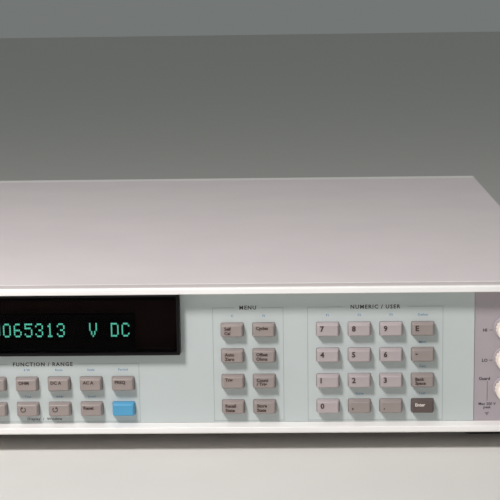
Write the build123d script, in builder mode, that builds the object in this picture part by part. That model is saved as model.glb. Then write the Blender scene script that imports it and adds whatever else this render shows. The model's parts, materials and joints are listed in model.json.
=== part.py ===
from build123d import *
import math
import os

# A full-width bench multimeter in a two-unit-high cabinet: cast front and rear frames, extruded side
# rails, folded top and bottom covers, a recessed front panel with a smoked window, three groups of
# keys and a plate of binding posts, and a rear panel with a fan, a mains inlet and signal connectors.
# X is across the front, +Y runs from the front to the rear, +Z is up. The origin is in the middle of
# the space the instrument takes on the bench, at the height of the bench.

# ---------------------------------------------------------------------------------------------------
# Driving dimensions, millimetres
# ---------------------------------------------------------------------------------------------------
# Cabinet.
WIDTH = 425.4
FRAME_HEIGHT = 88.1
CABINET_DEPTH = 480.0
FOOT_HEIGHT = 12.0
TERMINAL_REACH = 3.0  # the binding posts ahead of the front frame
STANDOFF_REACH = 18.0  # the rear standoffs behind the rear frame

# Cast frames.
LIP = 4.0  # wall above and below the opening
CHEEK = 6.0  # wall at each side of the opening
SHOULDER = 2.5  # ledge that the front panel seats on
FRAME_DEPTH = 21.0
FRAME_SHOWN = 13.5  # part of the frame's depth that the covers leave bare
FRAME_CORNER = 2.5
FRAME_ROUND = 1.2
OPENING_ROUND = 0.6
TRIM_MARGIN = 2.2  # bare metal ahead of the groove for the top trim
TRIM_GROOVE = 9.6
TRIM_GROOVE_DEPTH = 1.0
EAR_SETBACK = 7.0  # holes for rack ears, behind the front face
EAR_PITCH = 50.0
EAR_HOLE_R = 1.65

# Covers and rails.
SKIN = 1.8
SEAT_GAP = 0.2  # every seam of the cabinet's skin
COVER_FLANGE = 9.0
COVER_BEND = 2.5
RAIL_FLANGE = 14.0
RAIL_FLANGE_THICK = 2.5
RAIL_GROOVE = 22.0  # shallow channel along the rail for its trim
RAIL_GROOVE_DEPTH = 0.6
VENT_LENGTH = 40.0
VENT_WIDTH = 3.0
VENT_PITCH = 10.0
VENT_COUNT = 9
VENT_INSET = 130.0  # first vent, behind the front face

# Front panel.
PANEL_SETBACK = 10.0
PANEL_THICK = 2.0
PANEL_GAP = 0.15  # round the panel, the window and the terminal plate
BOSS_R = 2.5
BOSS_INSET = 4.0  # from the edges of the key board

# Display window: a smoked block with a hollow back, proud of the panel.
WINDOW_MARGIN = 6.7  # panel left of the window
WINDOW_TO_MENU = 30.65  # from the window to the first column of menu keys
WINDOW_HEIGHT = 37.2
WINDOW_SETBACK = 4.4
WINDOW_PANE = 3.0
WINDOW_WALL = 2.0
WINDOW_TAIL = 2.5  # part of the window behind the panel
WINDOW_EDGE = 0.4

# Keys. Places are those of key middles.
KEY_WIDTH = 13.3
KEY_HEIGHT = 8.2
KEY_CORNER = 0.9
KEY_PROUD = 4.5
KEY_BAND = 1.4  # straight part of the cap in front of the panel
KEY_DRAFT = 12.0  # degrees
KEY_ROUND = 0.5
KEY_GAP = 0.2
KEY_FLANGE = 1.0  # ledge round the key behind the panel, and its thickness
KEY_STEM_R = 1.8
KEY_STEM = 3.0
KEY_TRAVEL = 1.2
KEY_PITCH_X = 18.6
KEY_PITCH_Z = 15.6
KEY_TOP_INSET = 27.4  # top rows, below the frame's upper edge
NUMERIC_TO_PLATE = 30.4  # last numeric column, left of the terminal plate
MENU_TO_NUMERIC = 56.25  # between the first columns of the two groups
FUNCTION_TO_WINDOW = 34.75  # last function column, left of the window's right side
FUNCTION_BOTTOM = 13.2  # lower row, above the frame's lower edge
FUNCTION_PITCH_X = 19.1
FUNCTION_PITCH_Z = 15.5

# Push buttons.
BUTTON_GAP = 0.3
BUTTON_ROUND = 0.6
BUTTON_FLANGE = 1.0
POWER_SIZE = 12.0
POWER_PROUD = 7.0
POWER_INSET = 21.7  # from the left side of the opening
POWER_HEIGHT = 18.0
SELECT_SIZE = 6.5
SELECT_PROUD = 5.0
SELECT_HEIGHT = 11.5
SELECT_PITCH = 15.0
BUTTON_TRAVEL = 3.0  # the longest of the three
BUTTON_STEM_GAP = 0.5  # from a pressed button's stem to the side rails

# Terminal plate and binding posts.
PLATE_WIDTH = 49.2
PLATE_THICK = 3.0
PLATE_DROP = 0.5  # plate behind the panel's face
COLLAR_R = 6.6
COLLAR_HEIGHT = 2.0
COLLAR_ROUND = 0.5
POST_INSET_X = 13.0  # right column, from the right side of the opening
POST_INSET_Z = 27.5  # top row, below the frame's upper edge
POST_PITCH_X = 18.5
POST_PITCH_Z = 18.2
STUD_R = 2.9
STUD_TAIL = 12.0  # behind the plate
SOCKET_R = 2.0  # takes a 4 mm plug
SOCKET_DEPTH = 17.0
STUD_NUT_R = 5.0
STUD_NUT_THICK = 3.0
STUD_CLEARANCE = 0.05
CAP_R = 5.6
CAP_LIFT = 0.2  # cap clear of its collar
CAP_OVERHANG = 1.0  # cap beyond the stud's end
CAP_ROUND = 2.0
CAP_FLUTES = 16
CAP_FLUTE_R = 0.55
CAP_FLUTE_LENGTH = 7.0

# Rear panel.
REAR_SETBACK = 4.0
REAR_THICK = 2.0
STANDOFF_R = 8.0
STANDOFF_TIP_R = 6.0
STANDOFF_INSET_X = 15.0
STANDOFF_INSET_Z = 15.0
STANDOFF_ROUND = 1.5

# Fan.
FAN_INSET = 82.7  # fan's middle, from the side of the cabinet
FAN_SIZE = 76.0
FAN_DEPTH = 24.0
FAN_BORE_R = 35.5
FAN_HUB_R = 16.0
FAN_HUB_LENGTH = 18.0
FAN_SHAFT_R = 2.5
FAN_RUNNING_CLEARANCE = 0.05
FAN_SPIDER = 3.0  # thickness of the spider that holds the shaft
FAN_SPOKE = 5.0
FAN_SPOKES = 3
BLADE_COUNT = 7
BLADE_TIP_GAP = 1.2
BLADE_THICK = 1.8
BLADE_TWIST = 34.0  # degrees
BLADE_LENGTH = 14.0
SLOT_HEIGHT = 3.6
SLOT_PITCH = 6.6

# Mains inlet, bus connector and coaxial jacks on the rear panel.
INLET_INSET = 47.7  # inlet's middle, from the side of the cabinet
INLET_HEIGHT = 32.0
INLET_WIDTH = 32.0
INLET_TALL = 25.0
INLET_FLANGE = 2.5
INLET_BODY_WIDTH = 28.0
INLET_BODY_TALL = 20.0
INLET_BODY_DEPTH = 24.0
INLET_SOCKET_WIDTH = 24.0
INLET_SOCKET_TALL = 16.0
INLET_SOCKET_DEPTH = 17.0
INLET_CORNER = 2.0
BUS_TO_INLET = 110.0
BUS_HEIGHT = 58.0
BUS_WIDTH = 66.0
BUS_TALL = 17.0
BUS_FLANGE = 2.5
BUS_SHELL_WIDTH = 48.0
BUS_SHELL_TALL = 12.0
BUS_SHELL_REACH = 8.0
BUS_SHELL_WALL = 1.6
BUS_BODY_DEPTH = 9.0
JACK_R = 4.8
JACK_BORE_R = 3.6
JACK_REACH = 12.0
JACK_BORE_DEPTH = 9.0
JACK_NUT_R = 7.0
JACK_NUT_THICK = 2.6
JACK_TAIL = 9.0
JACKS_TO_INLET = 117.0  # middle jack to the inlet
JACK_PITCH = 28.0
JACK_COUNT = 3
JACK_HEIGHT = 25.0

# Feet and tilt stands.
FOOT_WIDTH = 26.0
FOOT_LENGTH = 62.0
FOOT_INSET_X = 45.0  # foot's middle, from the side of the cabinet
FOOT_INSET_Y = 66.0  # foot's middle, from the front or rear face
FOOT_EDGE = 2.0
WIRE_R = 1.6
WIRE_CLEARANCE = 0.05
WIRE_BEND = 2.0
WIRE_CORNER = 5.0
STAND_SIDE_GAP = 0.8
STAND_PIN = 6.0  # wire inside the foot
STAND_PIVOT_INSET = 9.0  # pivot, from the foot's front end
STAND_HEIGHT = 6.5

# Electronics.
BOARD_THICK = 1.6
KEY_BOARD_MARGIN = 16.0  # board beyond the outermost key middles
KEY_BOARD_INSET = 11.0  # board short of the frame's upper and lower edges
KEY_BOARD_CLEARANCE = 0.3  # behind a fully pressed key
TUBE_WIDTH = 130.0
TUBE_HEIGHT = 21.0
TUBE_RISE = 0.5  # tube above the window's lower wall
TUBE_GAP = 3.0  # air between the window's pane and the display
DECK_THICK = 1.6
DECK_MARGIN = 8.0
DECK_END = 36.0  # deck short of the frames
MAIN_BOARD_REAR_GAP = 40.0  # board short of the deck's rear end
MAIN_BOARD_WIDTH = 230.0
SPACER_R = 3.0
SPACER_HEIGHT = 8.0
SPACER_INSET = 8.0
TRANSFORMER_WIDTH = 88.0
TRANSFORMER_LENGTH = 96.0
TRANSFORMER_HEIGHT = 58.0
SHIELD_WIDTH = 120.0
SHIELD_LENGTH = 150.0
SHIELD_HEIGHT = 40.0
SHIELD_WALL = 1.2

# ---------------------------------------------------------------------------------------------------
# Places that follow from them
# ---------------------------------------------------------------------------------------------------
FACE_Y = -(CABINET_DEPTH + STANDOFF_REACH - TERMINAL_REACH) / 2
BACK_Y = FACE_Y + CABINET_DEPTH
BASE_Z = FOOT_HEIGHT
TOP_Z = BASE_Z + FRAME_HEIGHT
MID_Z = BASE_Z + FRAME_HEIGHT / 2

OPENING_WIDTH = WIDTH - 2 * CHEEK
OPENING_HEIGHT = FRAME_HEIGHT - 2 * LIP
PANEL_Y = FACE_Y + PANEL_SETBACK
PANEL_BACK_Y = PANEL_Y + PANEL_THICK
REBATE = SKIN + SEAT_GAP
COVER_FRONT_Y = FACE_Y + FRAME_SHOWN + SEAT_GAP
COVER_BACK_Y = BACK_Y - FRAME_SHOWN - SEAT_GAP

KEY_BOARD_Y = PANEL_BACK_Y + KEY_FLANGE + KEY_STEM + KEY_TRAVEL + KEY_BOARD_CLEARANCE
PLATE_LEFT = OPENING_WIDTH / 2 - PLATE_WIDTH
NUMERIC_LEFT = PLATE_LEFT - NUMERIC_TO_PLATE - 3 * KEY_PITCH_X
MENU_LEFT = NUMERIC_LEFT - MENU_TO_NUMERIC
WINDOW_RIGHT = MENU_LEFT - WINDOW_TO_MENU
WINDOW_LEFT = -OPENING_WIDTH / 2 + WINDOW_MARGIN
WINDOW_X = (WINDOW_LEFT + WINDOW_RIGHT) / 2
WINDOW_Z = TOP_Z - LIP - PANEL_GAP - WINDOW_HEIGHT / 2
WINDOW_WIDTH = WINDOW_RIGHT - WINDOW_LEFT
FUNCTION_LEFT = WINDOW_RIGHT - FUNCTION_TO_WINDOW - 5 * FUNCTION_PITCH_X
POWER_X = -OPENING_WIDTH / 2 + POWER_INSET

PLATE_RIGHT = OPENING_WIDTH / 2 - PANEL_GAP
PLATE_Y = PANEL_Y + PLATE_DROP
COLLAR_FACE_Y = PLATE_Y - COLLAR_HEIGHT
POST_LEFT = OPENING_WIDTH / 2 - POST_INSET_X - POST_PITCH_X
POST_TIP_Y = FACE_Y - TERMINAL_REACH
STUD_TIP_Y = POST_TIP_Y + CAP_OVERHANG
REAR_Y = BACK_Y - REAR_SETBACK
FAN_X = -WIDTH / 2 + FAN_INSET
INLET_X = WIDTH / 2 - INLET_INSET
BUS_X = INLET_X - BUS_TO_INLET
JACK_LEFT = INLET_X - JACKS_TO_INLET - JACK_PITCH
DECK_Z = BASE_Z + COVER_FLANGE + SEAT_GAP + RAIL_FLANGE_THICK
BOARD_Z = DECK_Z + DECK_THICK + SPACER_HEIGHT


def upright(y):
    """Plane across the instrument at depth y, seen from the front: local x is X, local y is Z."""
    return Plane.XZ.offset(-y)


def save(part, name):
    """Label a finished piece and write it as its own file."""
    part.label = name
    export_step(part, f"parts/{name}.step")


def key_grid(left, top, pitch_x, pitch_z, rows):
    """Name, x and z of each key of a group, from the rows of names, top row first."""
    return [
        (name, left + column * pitch_x, top - row * pitch_z)
        for row, names in enumerate(rows)
        for column, name in enumerate(names)
    ]


FUNCTION_ROWS = [
    ["dc_volts", "ac_volts", "ohms", "dc_amps", "ac_amps", "frequency"],
    ["range_down", "range_up", "view_left", "view_right", "reset", "shift"],
]
MENU_ROWS = [
    ["calibrate", "cycles"],
    ["auto_zero", "offset"],
    ["trigger", "readings"],
    ["recall", "store"],
]
NUMERIC_ROWS = [
    ["7", "8", "9", "exponent"],
    ["4", "5", "6", "minus"],
    ["1", "2", "3", "backspace"],
    ["0", "comma", "point", "enter"],
]
KEY_TOP = TOP_Z - KEY_TOP_INSET
FUNCTION_TOP = BASE_Z + FUNCTION_BOTTOM + FUNCTION_PITCH_Z
KEYS = (
    key_grid(FUNCTION_LEFT, FUNCTION_TOP, FUNCTION_PITCH_X, FUNCTION_PITCH_Z, FUNCTION_ROWS)
    + key_grid(MENU_LEFT, KEY_TOP, KEY_PITCH_X, KEY_PITCH_Z, MENU_ROWS)
    + key_grid(NUMERIC_LEFT, KEY_TOP, KEY_PITCH_X, KEY_PITCH_Z, NUMERIC_ROWS)
)
KEY_BOARD_LEFT = min(x for _, x, _ in KEYS) - KEY_BOARD_MARGIN
KEY_BOARD_RIGHT = max(x for _, x, _ in KEYS) + KEY_BOARD_MARGIN
KEY_BOARD_X = (KEY_BOARD_LEFT + KEY_BOARD_RIGHT) / 2
KEY_BOARD_WIDTH = KEY_BOARD_RIGHT - KEY_BOARD_LEFT
KEY_BOARD_HEIGHT = FRAME_HEIGHT - 2 * KEY_BOARD_INSET

SELECT_X = POST_LEFT + POST_PITCH_X / 2 + SELECT_PITCH / 2
SELECT_BUTTONS = [
    ("guard_button", SELECT_X - SELECT_PITCH / 2, BASE_Z + SELECT_HEIGHT),
    ("terminals_button", SELECT_X + SELECT_PITCH / 2, BASE_Z + SELECT_HEIGHT),
]
POST_ROWS = [["sense_high", "input_high"], ["sense_low", "input_low"], ["guard", "current"]]
POSTS = key_grid(POST_LEFT, TOP_Z - POST_INSET_Z, POST_PITCH_X, POST_PITCH_Z, POST_ROWS)
POST_PLACES = [(x, z) for _, x, z in POSTS]

os.makedirs("parts", exist_ok=True)

# ---------------------------------------------------------------------------------------------------
# Front frame: one casting, open in the middle, with a ledge behind the panel and a rebate at the back
# that the covers and rails lap over.
# ---------------------------------------------------------------------------------------------------
with BuildPart() as front_frame:
    with BuildSketch(upright(FACE_Y)):
        with Locations((0, MID_Z)):
            RectangleRounded(WIDTH, FRAME_HEIGHT, FRAME_CORNER)
            Rectangle(OPENING_WIDTH - 2 * SHOULDER, OPENING_HEIGHT - 2 * SHOULDER, mode=Mode.SUBTRACT)
    extrude(amount=-FRAME_DEPTH)
    with BuildSketch(upright(FACE_Y)):
        with Locations((0, MID_Z)):
            Rectangle(OPENING_WIDTH, OPENING_HEIGHT)
    extrude(amount=-(PANEL_SETBACK + PANEL_THICK), mode=Mode.SUBTRACT)
    with BuildSketch(upright(FACE_Y + FRAME_SHOWN)):
        with Locations((0, MID_Z)):
            Rectangle(WIDTH + REBATE, FRAME_HEIGHT + REBATE)
            Rectangle(WIDTH - 2 * REBATE, FRAME_HEIGHT - 2 * REBATE, mode=Mode.SUBTRACT)
    extrude(amount=-(FRAME_DEPTH - FRAME_SHOWN), mode=Mode.SUBTRACT)
    face = front_frame.faces().sort_by(Axis.Y)[0]
    fillet(face.outer_wire().edges(), FRAME_ROUND)
    face = front_frame.faces().sort_by(Axis.Y)[0]
    fillet(face.inner_wires()[0].edges(), OPENING_ROUND)
    with BuildSketch(Plane.XY.offset(TOP_Z)):
        with Locations((0, FACE_Y + TRIM_MARGIN + TRIM_GROOVE / 2)):
            Rectangle(OPENING_WIDTH, TRIM_GROOVE)
    extrude(amount=-TRIM_GROOVE_DEPTH, mode=Mode.SUBTRACT)
    with BuildSketch(Plane.YZ.offset(WIDTH / 2)):
        with Locations((FACE_Y + EAR_SETBACK, MID_Z)):
            with GridLocations(EAR_PITCH, EAR_PITCH, 1, 2):
                Circle(EAR_HOLE_R)
    extrude(amount=-WIDTH, mode=Mode.SUBTRACT)
save(front_frame.part, "front_frame")

# ---------------------------------------------------------------------------------------------------
# Front panel: sheet with a hole for each key, for the window and for the power button, and bosses
# behind it that carry the key board.
# ---------------------------------------------------------------------------------------------------
PANEL_LEFT = -OPENING_WIDTH / 2 + PANEL_GAP
PANEL_RIGHT = PLATE_LEFT - PANEL_GAP
with BuildPart() as front_panel:
    with BuildSketch(upright(PANEL_Y)):
        with Locations(((PANEL_LEFT + PANEL_RIGHT) / 2, MID_Z)):
            Rectangle(PANEL_RIGHT - PANEL_LEFT, OPENING_HEIGHT - 2 * PANEL_GAP)
        with Locations((WINDOW_X, WINDOW_Z + PANEL_GAP)):
            Rectangle(WINDOW_WIDTH + 2 * PANEL_GAP, WINDOW_HEIGHT + 4 * PANEL_GAP, mode=Mode.SUBTRACT)
        with Locations([(x, z) for _, x, z in KEYS]):
            RectangleRounded(
                KEY_WIDTH + 2 * KEY_GAP, KEY_HEIGHT + 2 * KEY_GAP, KEY_CORNER + KEY_GAP, mode=Mode.SUBTRACT
            )
        with Locations((POWER_X, BASE_Z + POWER_HEIGHT)):
            Rectangle(POWER_SIZE + 2 * BUTTON_GAP, POWER_SIZE + 2 * BUTTON_GAP, mode=Mode.SUBTRACT)
    extrude(amount=-PANEL_THICK)
    with BuildSketch(upright(PANEL_BACK_Y)):
        boss_z = MID_Z - KEY_BOARD_HEIGHT / 2 + BOSS_INSET
        with Locations(
            (KEY_BOARD_LEFT + BOSS_INSET, boss_z),
            (KEY_BOARD_RIGHT - BOSS_INSET, boss_z),
            (KEY_BOARD_RIGHT - BOSS_INSET, boss_z + KEY_BOARD_HEIGHT - 2 * BOSS_INSET),
        ):
            Circle(BOSS_R)
    extrude(amount=-(KEY_BOARD_Y - PANEL_BACK_Y))
save(front_panel.part, "front_panel")

# ---------------------------------------------------------------------------------------------------
# Display window: smoked block, hollow at the back, set through the panel.
# ---------------------------------------------------------------------------------------------------
WINDOW_FACE_Y = FACE_Y + WINDOW_SETBACK
WINDOW_BACK_Y = PANEL_BACK_Y + WINDOW_TAIL
with BuildPart() as display_window:
    with BuildSketch(upright(WINDOW_FACE_Y)):
        with Locations((WINDOW_X, WINDOW_Z)):
            Rectangle(WINDOW_WIDTH, WINDOW_HEIGHT)
    extrude(amount=-(PANEL_BACK_Y - WINDOW_FACE_Y))
    with BuildSketch(upright(PANEL_BACK_Y)):
        with Locations((WINDOW_X, WINDOW_Z - SHOULDER / 2)):
            Rectangle(WINDOW_WIDTH - 2 * SHOULDER, WINDOW_HEIGHT - SHOULDER)
    extrude(amount=-WINDOW_TAIL)
    chamfer(display_window.faces().sort_by(Axis.Y)[0].edges(), WINDOW_EDGE)
    with BuildSketch(upright(WINDOW_FACE_Y + WINDOW_PANE)):
        with Locations((WINDOW_X, WINDOW_Z - SHOULDER / 2)):
            Rectangle(
                WINDOW_WIDTH - 2 * SHOULDER - 2 * WINDOW_WALL, WINDOW_HEIGHT - SHOULDER - 2 * WINDOW_WALL
            )
    extrude(amount=-(WINDOW_BACK_Y - WINDOW_FACE_Y), mode=Mode.SUBTRACT)
save(display_window.part, "display_window")

# ---------------------------------------------------------------------------------------------------
# Keys: a drafted cap with a ledge behind the panel and a stem that reaches the switch behind it.
# ---------------------------------------------------------------------------------------------------
for name, x, z in KEYS:
    with BuildPart() as key:
        with BuildSketch(upright(PANEL_BACK_Y)):
            with Locations((x, z)):
                RectangleRounded(KEY_WIDTH, KEY_HEIGHT, KEY_CORNER)
        extrude(amount=PANEL_THICK + KEY_BAND)
        with BuildSketch(upright(PANEL_Y - KEY_BAND)):
            with Locations((x, z)):
                RectangleRounded(KEY_WIDTH, KEY_HEIGHT, KEY_CORNER)
        extrude(amount=KEY_PROUD - KEY_BAND, taper=KEY_DRAFT)
        fillet(key.faces().sort_by(Axis.Y)[0].edges(), KEY_ROUND)
        with BuildSketch(upright(PANEL_BACK_Y)):
            with Locations((x, z)):
                RectangleRounded(KEY_WIDTH + 2 * KEY_FLANGE, KEY_HEIGHT + 2 * KEY_FLANGE, KEY_CORNER)
        extrude(amount=-KEY_FLANGE)
        with BuildSketch(upright(PANEL_BACK_Y + KEY_FLANGE)):
            with Locations((x, z)):
                Circle(KEY_STEM_R)
        extrude(amount=-KEY_STEM)
    save(key.part, f"key_{name}")

# ---------------------------------------------------------------------------------------------------
# Push buttons: power at the lower left, and two selectors under the binding posts.
# ---------------------------------------------------------------------------------------------------
SELECT_STEM_Y = PLATE_Y + PLATE_THICK + BUTTON_FLANGE
BUTTON_STEM = FACE_Y + FRAME_DEPTH - BUTTON_STEM_GAP - BUTTON_TRAVEL - SELECT_STEM_Y
BUTTONS = [("power_button", POWER_X, BASE_Z + POWER_HEIGHT, POWER_SIZE, POWER_PROUD, PANEL_Y, PANEL_THICK)]
for name, x, z in SELECT_BUTTONS:
    BUTTONS.append((name, x, z, SELECT_SIZE, SELECT_PROUD, PLATE_Y, PLATE_THICK))
for name, x, z, size, proud, wall_y, wall in BUTTONS:
    with BuildPart() as button:
        with BuildSketch(upright(wall_y + wall)):
            with Locations((x, z)):
                Rectangle(size, size)
        extrude(amount=wall + proud)
        fillet(button.faces().sort_by(Axis.Y)[0].edges(), BUTTON_ROUND)
        with BuildSketch(upright(wall_y + wall)):
            with Locations((x, z)):
                Rectangle(size + 2 * BUTTON_FLANGE, size + 2 * BUTTON_FLANGE)
        extrude(amount=-BUTTON_FLANGE)
        with BuildSketch(upright(wall_y + wall + BUTTON_FLANGE)):
            with Locations((x, z)):
                Circle(size / 4)
        extrude(amount=-BUTTON_STEM)
    save(button.part, name)

# ---------------------------------------------------------------------------------------------------
# Terminal plate: insulating plate at the right of the panel with a raised collar for each post.
# ---------------------------------------------------------------------------------------------------
with BuildPart() as terminal_plate:
    with BuildSketch(upright(PLATE_Y)):
        with Locations(((PLATE_LEFT + PLATE_RIGHT) / 2, MID_Z)):
            Rectangle(PLATE_RIGHT - PLATE_LEFT, OPENING_HEIGHT - 2 * PANEL_GAP)
    extrude(amount=-(PANEL_BACK_Y - PLATE_Y))
    with BuildSketch(upright(PANEL_BACK_Y)):
        with Locations(((PLATE_LEFT + PLATE_RIGHT) / 2 - SHOULDER / 2, MID_Z)):
            Rectangle(
                PLATE_RIGHT - PLATE_LEFT - SHOULDER, OPENING_HEIGHT - 2 * SHOULDER - 2 * PANEL_GAP
            )
    extrude(amount=-(PLATE_Y + PLATE_THICK - PANEL_BACK_Y))
    with BuildSketch(upright(PLATE_Y)):
        with Locations(POST_PLACES):
            Circle(COLLAR_R)
    extrude(amount=COLLAR_HEIGHT)
    collar_rims = terminal_plate.edges().filter_by(GeomType.CIRCLE).group_by(Axis.Y)[0]
    fillet(collar_rims, COLLAR_ROUND)
    with BuildSketch(upright(COLLAR_FACE_Y)):
        with Locations(POST_PLACES):
            Circle(STUD_R + STUD_CLEARANCE)
        with Locations([(x, z) for _, x, z in SELECT_BUTTONS]):
            Rectangle(SELECT_SIZE + 2 * BUTTON_GAP, SELECT_SIZE + 2 * BUTTON_GAP)
    extrude(amount=-(COLLAR_HEIGHT + PLATE_THICK), mode=Mode.SUBTRACT)
save(terminal_plate.part, "terminal_plate")

# ---------------------------------------------------------------------------------------------------
# Terminal studs: plated brass, drilled for a 4 mm plug, each held by a nut behind the plate.
# ---------------------------------------------------------------------------------------------------
PLATE_BACK_Y = PLATE_Y + PLATE_THICK
with BuildPart() as terminal_studs:
    with BuildSketch(upright(STUD_TIP_Y)):
        with Locations(POST_PLACES):
            Circle(STUD_R)
    extrude(amount=-(PLATE_BACK_Y + STUD_TAIL - STUD_TIP_Y))
    with BuildSketch(upright(PLATE_BACK_Y)):
        with Locations(POST_PLACES):
            RegularPolygon(STUD_NUT_R, 6)
    extrude(amount=-STUD_NUT_THICK)
    with BuildSketch(upright(STUD_TIP_Y)):
        with Locations(POST_PLACES):
            Circle(SOCKET_R)
    extrude(amount=-SOCKET_DEPTH, mode=Mode.SUBTRACT)
save(terminal_studs.part, "terminal_studs")

# ---------------------------------------------------------------------------------------------------
# Post caps: fluted insulating caps that unscrew along the studs.
# ---------------------------------------------------------------------------------------------------
for name, x, z in POSTS:
    with BuildPart() as cap:
        with BuildSketch(upright(COLLAR_FACE_Y - CAP_LIFT)):
            with Locations((x, z)):
                Circle(CAP_R)
        extrude(amount=COLLAR_FACE_Y - CAP_LIFT - POST_TIP_Y)
        fillet(cap.edges().group_by(Axis.Y)[0], CAP_ROUND)
        with BuildSketch(upright(COLLAR_FACE_Y - CAP_LIFT)):
            with Locations((x, z)):
                with PolarLocations(CAP_R, CAP_FLUTES):
                    Circle(CAP_FLUTE_R)
        extrude(amount=CAP_FLUTE_LENGTH, mode=Mode.SUBTRACT)
        with BuildSketch(upright(COLLAR_FACE_Y - CAP_LIFT)):
            with Locations((x, z)):
                Circle(STUD_R + STUD_CLEARANCE)
        extrude(amount=COLLAR_FACE_Y - CAP_LIFT - POST_TIP_Y, mode=Mode.SUBTRACT)
    save(cap.part, f"cap_{name}")

# ---------------------------------------------------------------------------------------------------
# Covers: folded sheet whose ends lap over the frames. Each is a shallow channel with rounded bends.
# ---------------------------------------------------------------------------------------------------
COVER_LENGTH = COVER_BACK_Y - COVER_FRONT_Y
with BuildPart() as top_cover:
    with BuildSketch(upright(COVER_FRONT_Y)):
        with Locations((0, TOP_Z - COVER_FLANGE / 2)):
            Rectangle(WIDTH, COVER_FLANGE)
        with Locations((0, TOP_Z - SKIN - COVER_FLANGE / 2)):
            Rectangle(WIDTH - 2 * SKIN, COVER_FLANGE, mode=Mode.SUBTRACT)
    extrude(amount=-COVER_LENGTH)
    fillet(top_cover.edges().filter_by(Axis.Y).group_by(Axis.Z)[-1], COVER_BEND)
save(top_cover.part, "top_cover")

VENT_START_Y = FACE_Y + VENT_INSET
with BuildPart() as bottom_cover:
    with BuildSketch(upright(COVER_FRONT_Y)):
        with Locations((0, BASE_Z + COVER_FLANGE / 2)):
            Rectangle(WIDTH, COVER_FLANGE)
        with Locations((0, BASE_Z + SKIN + COVER_FLANGE / 2)):
            Rectangle(WIDTH - 2 * SKIN, COVER_FLANGE, mode=Mode.SUBTRACT)
    extrude(amount=-COVER_LENGTH)
    fillet(bottom_cover.edges().filter_by(Axis.Y).group_by(Axis.Z)[0], COVER_BEND)
    with BuildSketch(Plane.XY.offset(BASE_Z)):
        with Locations((0, VENT_START_Y + (VENT_COUNT - 1) * VENT_PITCH / 2)):
            with GridLocations(2 * VENT_LENGTH, VENT_PITCH, 3, VENT_COUNT):
                SlotOverall(VENT_LENGTH, VENT_WIDTH)
    extrude(amount=SKIN, mode=Mode.SUBTRACT)
save(bottom_cover.part, "bottom_cover")

# ---------------------------------------------------------------------------------------------------
# Side rails: extruded channels between the frames. Their flanges stop short of the frames, and their
# outer face has a shallow channel for the side trim.
# ---------------------------------------------------------------------------------------------------
RAIL_HEIGHT = FRAME_HEIGHT - 2 * COVER_FLANGE - 2 * SEAT_GAP
RAIL_FLANGE_START = FACE_Y + FRAME_DEPTH + SEAT_GAP
RAIL_FLANGE_LENGTH = CABINET_DEPTH - 2 * FRAME_DEPTH - 2 * SEAT_GAP
with BuildPart() as side_rails:
    for side in (-1, 1):
        with BuildSketch(upright(COVER_FRONT_Y)):
            with Locations((side * (WIDTH / 2 - SKIN / 2), MID_Z)):
                Rectangle(SKIN, RAIL_HEIGHT)
        extrude(amount=-COVER_LENGTH)
        with BuildSketch(upright(RAIL_FLANGE_START)):
            with Locations((side * (WIDTH / 2 - RAIL_FLANGE / 2), MID_Z)):
                Rectangle(RAIL_FLANGE, RAIL_HEIGHT)
            with Locations((side * (WIDTH / 2 - SKIN - RAIL_FLANGE / 2), MID_Z)):
                Rectangle(RAIL_FLANGE, RAIL_HEIGHT - 2 * RAIL_FLANGE_THICK, mode=Mode.SUBTRACT)
        extrude(amount=-RAIL_FLANGE_LENGTH)
        with BuildSketch(upright(COVER_FRONT_Y)):
            with Locations((side * WIDTH / 2, MID_Z)):
                Rectangle(2 * RAIL_GROOVE_DEPTH, RAIL_GROOVE)
        extrude(amount=-COVER_LENGTH, mode=Mode.SUBTRACT)
save(side_rails.part, "side_rails")

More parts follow.
